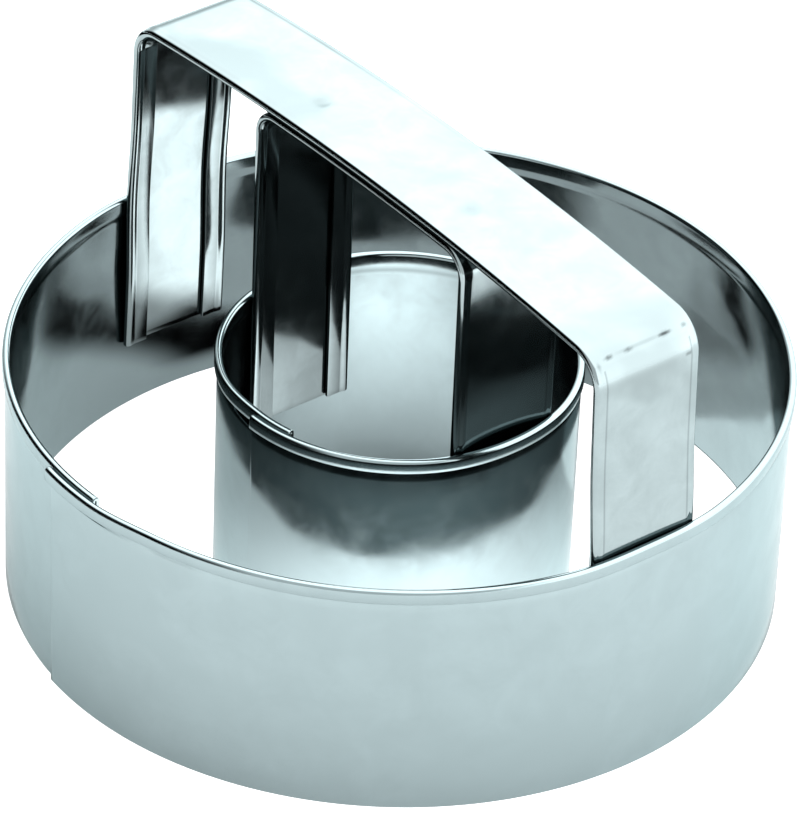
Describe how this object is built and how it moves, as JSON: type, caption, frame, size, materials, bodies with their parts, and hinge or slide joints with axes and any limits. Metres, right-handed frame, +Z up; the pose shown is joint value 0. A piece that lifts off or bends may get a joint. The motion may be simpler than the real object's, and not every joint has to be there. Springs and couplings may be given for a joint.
{
  "type": "donut cutter",
  "caption": "Doughnut cutter of folded steel strip: a cutting ring, a smaller hole ring inside it and an arched strap handle that joins both.",
  "frame": {"origin": "on the axis of the two rings, in the plane of their cutting edges", "axes": "+Z up from the cutting edges to the handle, X along the handle, both lap seams on the -Y side"},
  "size_m": [0.0895, 0.0903, 0.0568],
  "materials": {
    "ring_steel": "polished stainless steel sheet with faint wiping marks",
    "strap_steel": "polished stainless steel strip, hemmed edges",
    "weld_steel": "dull resistance weld"
  },
  "bodies": {
    "root": {"outer_ring": "ring_steel", "inner_ring": "ring_steel", "handle_strap": "strap_steel", "inner_strap": "strap_steel", "outer_seam_welds": "weld_steel", "inner_seam_welds": "weld_steel", "handle_leg_welds": "weld_steel", "inner_leg_welds": "weld_steel", "crossbar_welds": "weld_steel"}
  },
  "joints": []
}
